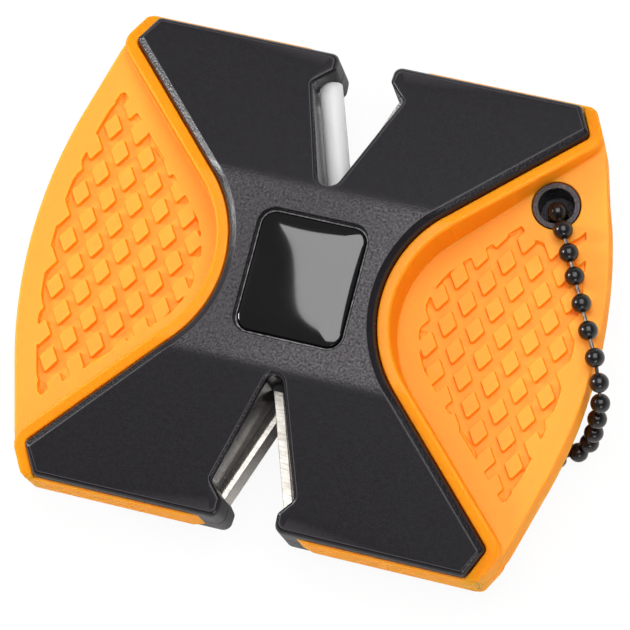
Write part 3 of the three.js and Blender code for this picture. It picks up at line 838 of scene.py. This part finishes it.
def groove_fall_at(points, with_eyelet):
    """How deep the grooves between the pads are sunk, and nothing on a pad or outside the pocket."""
    away = np.full(len(points), pad_none)
    for spot in pad_places:
        near = np.abs(points - spot).max(1) < pad_reach
        away[near] = np.minimum(away[near], outside_by(points[near] - spot, pad_loop))
    depth = pocket_depth(points, with_eyelet)
    clear = np.clip((np.maximum(away, depth) - groove_least) / groove_least, 0, 1)
    return np.interp(np.minimum(away, depth), groove_marks, groove_fall) * groove_depth * clear


def grip_rise(points, with_eyelet):
    """Rise of the grip's top: rim and ridges beside the black, the field with its grooves beyond."""
    run = line_distance(points, black_line)
    on_shoulder, on_wall = run <= rim_width + hair, run <= foot_marks[0] + hair
    rim_top = roof(points[:, 1]) - rim_drop
    foot = field_rise + np.clip(foot_slope * (rim_top - field_rise), 0, foot_most)
    shoulder = rim_top - np.interp(run, shoulder_marks, shoulder_falls)
    wall = np.maximum(rim_top - shoulder_falls[-1], foot) - foot
    wall = np.interp(run, (rim_width, foot_marks[0]), (1, 0)) * wall + foot
    skirt = field_rise + (foot - field_rise) * np.interp(run, foot_marks, foot_shares)
    field = skirt - groove_fall_at(points, with_eyelet)
    rise = np.where(on_shoulder, shoulder, np.where(on_wall, wall, field))
    outer = fillet(line_distance(points, outer_line), wing_edge)
    rise = rise - np.where(on_shoulder, np.maximum(outer - (rim_top - shoulder), 0), outer)
    rise = rise - fillet(run - grip_gap, rim_edge)
    if with_eyelet:
        rise = rise - fillet(np.hypot(*(points - eyelet_centre).T) - eyelet_hole, eyelet_edge)
    return rise


def grip_skirt(loop, top):
    """Walls of a grip: lapped over the black beside it, and flared out along the wing's edge."""
    inward = loop_normals(loop)
    past = np.clip((np.abs(loop[:, 1]) - wing_run + flare_lead) / flare_run, 0, 1)
    flare = (0.5 + 0.5 * np.cos(past * math.pi)) * wing_draft
    at_black = line_distance(loop, inner_line) < 2 * brink
    yield np.column_stack((loop, top - np.where(at_black, lap_start, brink)))
    foot = loop - inward * np.where(at_black, grip_gap, flare)[:, None]
    yield np.column_stack((np.where(at_black[:, None], foot, loop), top - np.where(at_black, lap_end, 2 * brink)))
    yield np.column_stack((foot, np.full(len(loop), foot_lean)))
    yield np.column_stack((foot + inward * foot_lean, np.zeros(len(loop))))


def strip(top_rise):
    """The bar across an arm end, ramped up out of the black wall beside the nose."""
    loop = rounded([
        (strip_start, strip_back, 0), (*ridge_at(strip_offsets[0], strip_back), 0),
        (*ridge_at(strip_offsets[1], strip_front), strip_outer_round),
        (strip_start + strip_ramp, strip_front, strip_inner_round), (strip_start, strip_front - strip_step, 0),
    ], closed=True)
    lines = [closed_line(inset(loop, strip_edge * share)) for share in fillet_steps]
    plan, faces = triangulated(lines, lambda p: inside(p, loop))
    top = top_rise - fillet(line_distance(plan, closed_line(loop)), strip_edge)
    return moulded(plan, faces, top, plain_skirt(foot_lean, foot_lean))


def grip(with_eyelet):
    """A half wing: every line where its relief changes, drawn on the plan, and the rise put on it."""
    lines = [closed_line(inset(grip_loop, wing_edge * share)) for share in fillet_steps]
    lines += [both_halves(grip_border(run, past_edge)) for run in (rim_inner, *shoulder_marks, *foot_marks)]
    for mark in groove_marks:
        lines.append(both_halves(border_line(-pocket_border - mark)))
        lines.append(wing_line(pocket_edge + mark, pocket_reach))
        lines += [closed_line(pad_outline(mark) + spot) for spot in pad_places]
        if with_eyelet:
            lines.append(circle(eyelet_centre, pocket_eyelet + mark, 60))
    if with_eyelet:
        lines += [circle(eyelet_centre, eyelet_hole + eyelet_edge * share, 56) for share in fillet_steps]

    def keep(points):
        kept = inside(points, grip_loop)
        if with_eyelet:
            kept &= np.hypot(*(points - eyelet_centre).T) > eyelet_hole - 3 * hair
        return kept

    plan, faces = triangulated(lines, keep)
    return moulded(plan, faces, grip_rise(plan, with_eyelet), grip_skirt)


wings = {"right": (1, grip(True)), "left": (-1, grip(False))}
for half, shell, sz in (("top", "upper", 1), ("bottom", "lower", -1)):
    bar = strip(strip_rises[half])
    for side, (sx, wing) in wings.items():
        whole = flipped(gathered([wing, bar, flipped(bar, sy=-1)]), sx=sx, sz=sz)
        piece(f"grip_{half}_{side}", whole, orange_soft, "body", [f"{shell}_{side}_grip"])

# ---------------------------------------------------------------------------------------------
# Ceramic rods: two sintered white rods that cross in the front slot, one above the parting line and
# one below. Their feet are held in the moulding, and the tapered slot wall covers part of each.

rod_radius = 1.5
rod_tilt = math.radians(19.5)
rod_foot = 9.6
rod_head = 27.3
rod_rise = 1.65
rod_crossings = {"left": 14.6, "right": 12.0}
rod_round = 0.3


def mottled(name, sockets, grain, dark, light, gloss=None):
    """A finish that wanders between two colours, and between two values of gloss where these are given.
    Grain and gloss open with the size of the spots in millimetres and the detail in them."""
    material, tree, shader, place = finish(name, sockets)
    coloured(tree, shader, speckle(tree, place, *grain), dark, light)
    if gloss:
        feed(tree, shader.inputs["Roughness"], speckle(tree, place, *gloss))
    return material, tree, shader, place


ceramic, tree, shader, place = mottled(
    "white_ceramic", {"Subsurface Weight": 0.95, "Subsurface Scale": 0.006, "Subsurface Radius": (1.0, 1.0, 1.0)},
    (2.5, 4), (0.965, 0.952, 0.944), (0.985, 0.975, 0.968), gloss=(0.3, 3, 0.38, 0.52))
raised(tree, shader, speckle(tree, place, 0.12, 2), 0.15, 0.01)


def laid(part, along, up, centre):
    """A part made upright, laid down so that its axis points along and its X side points up."""
    along, up = Vector(along).normalized(), Vector(up).normalized()
    basis = np.array((up, along.cross(up), along))
    return part[0] @ basis + centre, part[1]


rod_half = (rod_head - rod_foot) / math.cos(rod_tilt) / 2
quarter = np.linspace(0, math.pi / 2, 5)
rod_edge = [(rod_radius - rod_round * (1 - math.sin(a)), rod_half - rod_round * (1 - math.cos(a)))
            for a in quarter]
rod_profile = [(0, -rod_half), *((r, -z) for r, z in rod_edge), *rod_edge[::-1], (0, rod_half)]
for name, side in (("left", -1), ("right", 1)):
    middle = (rod_head + rod_foot) / 2
    away = (middle - rod_crossings[name]) * math.tan(rod_tilt)
    centre = np.array((side * away, middle, -side * rod_rise))
    rod = laid(lathed(rod_profile, 48), (side * math.sin(rod_tilt), math.cos(rod_tilt), 0), (0, 0, 1), centre)
    piece(f"rod_{name}", rod, ceramic, "body", [f"ceramic_rod_{name}"], recalculate=True)

# ---------------------------------------------------------------------------------------------
# Carbide blades: two ground hard-metal bars that cross in the back slot, the right one above the
# parting line and the left one below. A narrow land is ground along the edge that meets the knife.

blade_half = 1.1
blade_height = 4.6
blade_tilt = math.radians(19.5)
blade_foot = 9.6
blade_head = 28.0
blade_crossings = {"left": 15.2, "right": 16.0}
blade_lands = {"left": 0.7, "right": 1.15}
blade_fall = 0.38
blade_ease = 0.06
blade_end = 0.12
blade_end_share = 0.95

ground_carbide, tree, shader, place = finish("ground_carbide", {"Metallic": 1.0})
scratches = speckle(tree, place, 0.35, 5, stretch=((0, 0, blade_tilt), (0.25, 3.0, 1.0)))
coloured(tree, shader, scratches, (0.47, 0.435, 0.39), (0.80, 0.77, 0.72))
feed(tree, shader.inputs["Roughness"], speckle(tree, place, 0.4, 4, 0.34, 0.52))
raised(tree, shader, scratches, 0.25, 0.03)


def bands(count, levels):
    """Four-sided faces between rings of points that are stored one after another."""
    return [(a + k, a + (k + 1) % count, a + count + (k + 1) % count, a + count + k)
            for a in range(0, count * (levels - 1), count) for k in range(count)]


def drawn(section, low, high):
    """A bar of one section, drawn from low to high with its ends eased."""
    middle = section.mean(0)
    count = len(section)
    ends = ((low, blade_end_share), (low + blade_end, 1.0), (high - blade_end, 1.0), (high, blade_end_share))
    points = np.concatenate([np.column_stack((middle + (section - middle) * share, np.full(count, z)))
                             for z, share in ends])
    shapes = [tuple(range(count))[::-1], tuple(3 * count + k for k in range(count)), *bands(count, 4)]
    return points, shapes


def blade_section(land):
    """Section of a bar: ground face, narrow land along its edge, and a back that falls away behind a groove."""
    end = land - blade_half
    back = [(blade_height - 0.12 - blade_fall * (t - end), t) for t in np.linspace(end + 0.16, blade_half, 5)]
    return np.array((
        (blade_ease, blade_half), (0.0, blade_half - blade_ease),
        (0.0, -blade_half + blade_ease), (blade_ease, -blade_half),
        (blade_height - 0.10, -blade_half), (blade_height - 0.03, -blade_half + 0.05),
        (blade_height, end - 0.05), (blade_height - 0.03, end),
        (blade_height - 0.22, end + 0.03), (blade_height - 0.25, end + 0.10), *back))


for name, side, base in (("right", 1, 0.0), ("left", -1, -blade_height)):
    length = (blade_head - blade_foot) / math.cos(blade_tilt)
    middle = (blade_head + blade_foot) / 2
    edge = (middle - blade_crossings[name]) * math.tan(blade_tilt) + blade_half / math.cos(blade_tilt)
    along = Vector((side * math.sin(blade_tilt), -math.cos(blade_tilt), 0))
    section = blade_section(blade_lands[name]) * (1, 1 if along.cross((0, 0, 1)).x * side > 0 else -1)
    bar = drawn(section, -length / 2, length / 2)
    bar = laid(bar, along, (0, 0, 1), np.array((side * edge, -middle, base)))
    piece(f"blade_{name}", bar, ground_carbide, "body", [f"carbide_blade_{name}"], sharp=25,
          recalculate=True)

# ---------------------------------------------------------------------------------------------
# Badge: a thin dark plate in the hub's recess, worn light along its edge, and a lens of black resin
# poured on it, which stands a little proud and mirrors the soft boxes along its rounded edge.

plate_low = hub_rise - badge_recess
plate_thick = 0.12
plate_shares = (1.01, 1.02, 1.02, 1.015)
plate_eases = (0.05, 0.04)
dome_shoulder = 0.04
dome_edge = 0.42
dome_crown = 0.85
dome_turns = np.linspace(0.2, 1, 6) * math.pi / 3
dome_shares = np.linspace(0.95, 0.04, 30)
badge_spacing = 0.8

plate_black, *_ = mottled("badge_plate_black", {"Roughness": 0.35},
                          (0.6, 3), (0.012, 0.012, 0.013), (0.36, 0.35, 0.35))
resin_black, *_ = mottled(
    "poured_black_resin", {"Coat Weight": 0.5, "Coat Roughness": 0.05},
    (5.0, 2), (0.0030, 0.0030, 0.0034), (0.0045, 0.0045, 0.005), gloss=(4.0, 2, 0.06, 0.10))


def stacked(outline, levels, crown=0.0):
    """A body of one outline, scaled and lifted from level to level, with its top crowned like a pillow."""
    count = len(outline)
    points = [np.column_stack((outline * share, np.full(count, rise))) for rise, share in levels]
    points += [np.array(((0, 0, levels[0][0]), (0, 0, levels[-1][0])))]
    swell = np.concatenate([np.full(count, float(k > 0)) for k in range(len(levels))] + [np.array((0.0, 1.0))])
    across = np.concatenate(points)[:, :2] / np.abs(outline).max(0)
    spread = np.concatenate([np.full(count, share) for _, share in levels] + [np.zeros(2)])
    pillow = 0.5 * np.prod(1 - np.clip(np.abs(across), 0, 1) ** 2, 1) + 0.5 * (1 - spread ** 8)
    lift = crown * swell * pillow
    last = (len(levels) - 1) * count
    shapes = bands(count, len(levels))
    for k in range(count):
        n = (k + 1) % count
        shapes += [(n, k, len(levels) * count), (last + k, last + n, len(levels) * count + 1)]
    return np.concatenate(points) + lift[:, None] * (0, 0, 1), shapes


corner_loop = rectangle(badge_half, badge_round, every=6)
badge_loop = []
for start, end in zip(corner_loop, np.roll(corner_loop, -1, 0)):
    count = max(1, int(np.hypot(*(end - start)) / badge_spacing))
    badge_loop.extend(start + (end - start) * k / count for k in range(count))
badge_loop = np.array(badge_loop)
plate_high = plate_low + plate_thick
plate_rises = (plate_low, plate_low + plate_eases[0], plate_high - plate_eases[1], plate_high)
plate = stacked(badge_loop, list(zip(plate_rises, plate_shares)))
dome_levels = [(plate_high, 0.99), (plate_high + dome_shoulder, 1.0)]
for angle in dome_turns:
    rise = plate_high + dome_shoulder + dome_edge * math.sin(angle)
    dome_levels.append((rise, 1 - dome_edge * (1 - math.cos(angle)) / badge_half[0]))
dome_levels += [(rise, share) for share in dome_shares]
piece("badge_backing", plate, plate_black, "body", ["badge_plate"])
lens_part = stacked(badge_loop, dome_levels, dome_crown)
piece("badge_lens", lens_part, resin_black, "body", ["badge_dome"], sharp=60)

# ---------------------------------------------------------------------------------------------
# Screws: four plated steel self-tapping screws, driven from below through the bottom shell into the
# top one. Each has a domed head with a cross recess and sits at the floor of its own well.

screw_head = 2.1
screw_head_height = 1.7
screw_shank = 1.1
screw_length = 8.0
cross_width = 0.55
cross_span = 2.3
cross_depth = 0.9
shank_lift = 0.498

plated_steel, *_ = mottled("plated_steel", {"Metallic": 1.0}, (0.8, 3), (0.42, 0.42, 0.43), (0.56, 0.56, 0.57),
                           gloss=(0.25, 3, 0.24, 0.4))


def repeat_tree(name, sizes):
    """An empty node tree with a mesh in, a mesh out and one named size for each entry."""
    group = bpy.data.node_groups.new(name, "GeometryNodeTree")
    group.interface.new_socket("Mesh", in_out="INPUT", socket_type="NodeSocketGeometry")
    for label in sizes:
        group.interface.new_socket(label, in_out="INPUT", socket_type="NodeSocketFloat")
    group.interface.new_socket("Mesh", in_out="OUTPUT", socket_type="NodeSocketGeometry")
    return group, group.nodes.new("NodeGroupInput").outputs, group.nodes.new("NodeGroupOutput").inputs[0]


def grown(name, points, sides, group, sizes, attributes=None):
    """The plain mesh that a node tree makes from bare points (millimetres about the parting line)."""
    seeds = bpy.data.meshes.new(name)
    seeds.from_pydata((np.array(points) + (0, 0, parting_height)) / 1000, sides, [])
    for label, values in (attributes or {}).items():
        store = seeds.attributes.new(label, "FLOAT_VECTOR", "POINT")
        store.data.foreach_set("vector", np.asarray(values, np.float32).ravel())
    made = bpy.data.objects.new(name, seeds)
    bpy.context.collection.objects.link(made)
    modifier = made.modifiers.new("repeat", "NODES")
    modifier.node_group = group
    for socket in group.interface.items_tree:
        if socket.in_out == "INPUT" and socket.name in sizes:
            modifier[socket.identifier] = sizes[socket.name] / 1000
    plain = bpy.data.meshes.new_from_object(made.evaluated_get(bpy.context.evaluated_depsgraph_get()))
    made.modifiers.clear()
    made.data = plain
    plain.name = name
    return made


def pressed_ball(group, segments, rings, radius, low, high):
    """A ball pressed flat below low and above high."""
    ball = step(group, "GeometryNodeMeshUVSphere", Segments=segments, Rings=rings, Radius=radius)
    here = step(group, "GeometryNodeInputPosition").outputs[0]
    x, y, z = (axis(group, here, label) for label in "XYZ")
    flat = step(group, "ShaderNodeClamp", Value=z, Min=low, Max=high).outputs[0]
    spot = step(group, "ShaderNodeCombineXYZ", X=x, Y=y, Z=flat).outputs[0]
    return step(group, "GeometryNodeSetPosition", Geometry=ball.outputs["Mesh"], Position=spot).outputs[0]


def joined(group, *meshes):
    both = step(group, "GeometryNodeJoinGeometry")
    for mesh in meshes:
        feed(group, both.inputs[0], mesh)
    return both.outputs[0]


def lifted(group, mesh, rise):
    up = step(group, "ShaderNodeCombineXYZ", Z=rise).outputs[0]
    return step(group, "GeometryNodeTransform", Geometry=mesh, Translation=up).outputs[0]


def real(group, points, part, material, **turn):
    """A part set on every point, made real and given its material."""
    copies = step(group, "GeometryNodeInstanceOnPoints", Points=points, Instance=part, **turn)
    solid = step(group, "GeometryNodeRealizeInstances", Geometry=copies.outputs[0])
    return step(group, "GeometryNodeSetMaterial", Geometry=solid.outputs[0], Material=material).outputs[0]


screw_sizes = {"Head radius": screw_head, "Head height": screw_head_height, "Shank radius": screw_shank,
               "Shank length": screw_length, "Cross width": cross_width, "Cross span": cross_span,
               "Cross depth": cross_depth}
group, size, result = repeat_tree("screw_set", screw_sizes)
head_low = times(group, size["Head height"], -1.0)
head = pressed_ball(group, segments=40, rings=24, radius=size["Head radius"], low=head_low, high=0.0)
cutters = []
for first, second in (("Cross width", "Cross span"), ("Cross span", "Cross width")):
    depth = times(group, size["Cross depth"], 2.0)
    span = step(group, "ShaderNodeCombineXYZ", X=size[first], Y=size[second], Z=depth)
    cutter = step(group, "GeometryNodeMeshCube", Size=span.outputs[0])
    cutters.append(lifted(group, cutter.outputs["Mesh"], head_low))
recessed = step(group, "GeometryNodeMeshBoolean", {"operation": "DIFFERENCE", "solver": "EXACT"},
                Mesh_1=head, Mesh_2=joined(group, *cutters), Self_Intersection=True)
shank = step(group, "GeometryNodeMeshCylinder", Vertices=24, Radius=size["Shank radius"],
             Depth=size["Shank length"])
stood = lifted(group, shank.outputs["Mesh"], times(group, size["Shank length"], shank_lift))
screw = joined(group, recessed.outputs["Mesh"], stood)
feed(group, result, real(group, size["Mesh"], screw, plated_steel))

corners = ((1, 1), (-1, 1), (-1, -1), (1, -1))
wells = [(*(screw_place * corner), -screw_seat) for corner in corners]
screws = grown("closing_screws", wells, [], group, screw_sizes)
screws.data.shade_smooth()
screws.data.set_sharp_from_angle(angle=math.radians(30))
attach(screws, "body")
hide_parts("screw_front_right", "screw_front_left", "screw_back_left", "screw_back_right")

# ---------------------------------------------------------------------------------------------
# Ball chain: hollow steel beads, black plated and polished, strung on short links of dark wire. It runs
# from the coupling up through the eyelet, over the field and the wing's edge, and back underneath.

ball_radius = 1.2
bead_radius = 1.25
bead_end = 1.17
wire_radius = 0.24
bead_moves = (
    ((8, 12, 15, 17, 19, 21), (0, -0.2, 0.35, -0.45, -0.6, 0)),
    ((6, 7, 8, 12, 16, 17.5, 19, 20, 24), (0, 0.3, 0.3, 0.4, -1.25, -1.74, -1.74, -1.3, 0)),
    ((8, 9, 10, 11), (0, -0.35, -0.15, 0)),
)
fit_rounds = 30
fit_reach = 0.03

bead_black, *_ = mottled(
    "black_plated_bead", {"Specular IOR Level": 0.35, "Coat Weight": 0.2, "Coat Roughness": 0.06},
    (0.9, 3), (0.004, 0.0036, 0.004), (0.007, 0.0065, 0.0065), gloss=(0.5, 3, 0.20, 0.32))
wire_steel, *_ = mottled("dark_link_wire", {"Metallic": 1.0}, (0.4, 2), (0.09, 0.085, 0.08),
                         (0.19, 0.175, 0.165), gloss=(0.3, 2, 0.25, 0.4))


def ball_centre(node):
    """Centre of the ball in a packed bead, by fitting a sphere of the bead's radius to its corners."""
    corners = np.array([v.co[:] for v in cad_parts[node].data.vertices]) * 1000
    centre = (corners.min(0) + corners.max(0)) / 2
    for _ in range(fit_rounds):
        away = corners - centre
        far = np.linalg.norm(away, axis=1)
        weight = 1 / (1 + ((far - ball_radius) / fit_reach) ** 2)
        pull = away / far[:, None] * ((far - ball_radius) * weight)[:, None]
        centre = centre + pull.sum(0) / weight.sum() * 2
    return centre - (0, 0, parting_height)


bead_names = sorted(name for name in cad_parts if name.startswith("chain_bead_"))
beads = np.array([ball_centre(name) for name in bead_names])
order = np.arange(1, len(beads) + 1)
for side, (marks, moves) in enumerate(bead_moves):
    beads[:, side] += np.interp(order, marks, moves)
along = np.gradient(beads, axis=0)
chain_sizes = {"Bead radius": bead_radius, "Bead end": bead_end, "Wire radius": wire_radius}
group, size, result = repeat_tree("bead_string", chain_sizes)
bead_low = times(group, size["Bead end"], -1.0)
bead = pressed_ball(group, segments=32, rings=20, radius=size["Bead radius"], low=bead_low, high=size["Bead end"])
heading = step(group, "GeometryNodeInputNamedAttribute", {"data_type": "FLOAT_VECTOR"}, Name="along")
turned = step(group, "FunctionNodeAlignRotationToVector", {"axis": "Z"}, Vector=heading.outputs["Attribute"])
strung = real(group, size["Mesh"], bead, bead_black, Rotation=turned.outputs[0])
path = step(group, "GeometryNodeMeshToCurve", Mesh=size["Mesh"])
ring = step(group, "GeometryNodeCurvePrimitiveCircle", Resolution=14, Radius=size["Wire radius"])
wire = step(group, "GeometryNodeCurveToMesh", Curve=path.outputs[0], Profile_Curve=ring.outputs[0],
            Fill_Caps=True)
dark = step(group, "GeometryNodeSetMaterial", Geometry=wire.outputs[0], Material=wire_steel)
feed(group, result, joined(group, strung, dark.outputs[0]))

links_in_order = [(k, k + 1) for k in range(len(beads) - 1)]
chain = grown("ball_chain", beads, links_in_order, group, chain_sizes, {"along": along})
chain.data.shade_smooth()
chain.data.set_sharp_from_angle(angle=math.radians(45))
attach(chain, "chain")
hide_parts(*bead_names)

# ---------------------------------------------------------------------------------------------
# Coupling: a slit tube of thin black-plated sheet with drawn-in ends, snapped over the chain's first
# and last beads under the right wing, so that the chain closes into a loop.

coupling_centre = np.array((25.5, 0.5, -8.9))
coupling_radius = 1.8
coupling_half = 4.0
coupling_mouth = 0.72
coupling_wall = 0.26
coupling_turn = 0.6
coupling_slit = math.radians(24)

coupling_neck = coupling_radius - coupling_turn
profile = [(coupling_mouth, -coupling_half), (coupling_neck, -coupling_half)]
profile += [(coupling_neck + coupling_turn * math.sin(a), coupling_turn * (1 - math.cos(a)) - coupling_half)
            for a in np.linspace(0.25, math.pi / 2, 5)]
profile += [(r, -y) for r, y in profile[::-1]]
inner = [(max(r - coupling_wall, coupling_mouth), y * (1 - coupling_wall / coupling_half)) for r, y in profile]
angles = np.linspace(-math.pi / 2 + coupling_slit, 1.5 * math.pi - coupling_slit, 41)
count = len(profile)
points, shapes = [], []
for wall in (profile, inner):
    for angle in angles:
        points.extend((r * math.cos(angle), y, r * math.sin(angle)) for r, y in wall)
within = len(angles) * count
for a in range(len(angles) - 1):
    for k in range(count - 1):
        corner = a * count + k
        outer = (corner, corner + 1, corner + count + 1, corner + count)
        shapes += [outer, tuple(within + v for v in outer[::-1])]
    for k in (0, count - 1):
        corner = a * count + k
        shapes.append((corner, corner + count, within + corner + count, within + corner))
for a in (0, len(angles) - 1):
    for k in range(count - 1):
        corner = a * count + k
        shapes.append((corner, corner + 1, within + corner + 1, within + corner))
coupling = (np.array(points) + coupling_centre, shapes)
piece("chain_clip", coupling, bead_black, "coupling", ["chain_coupling"], recalculate=True)
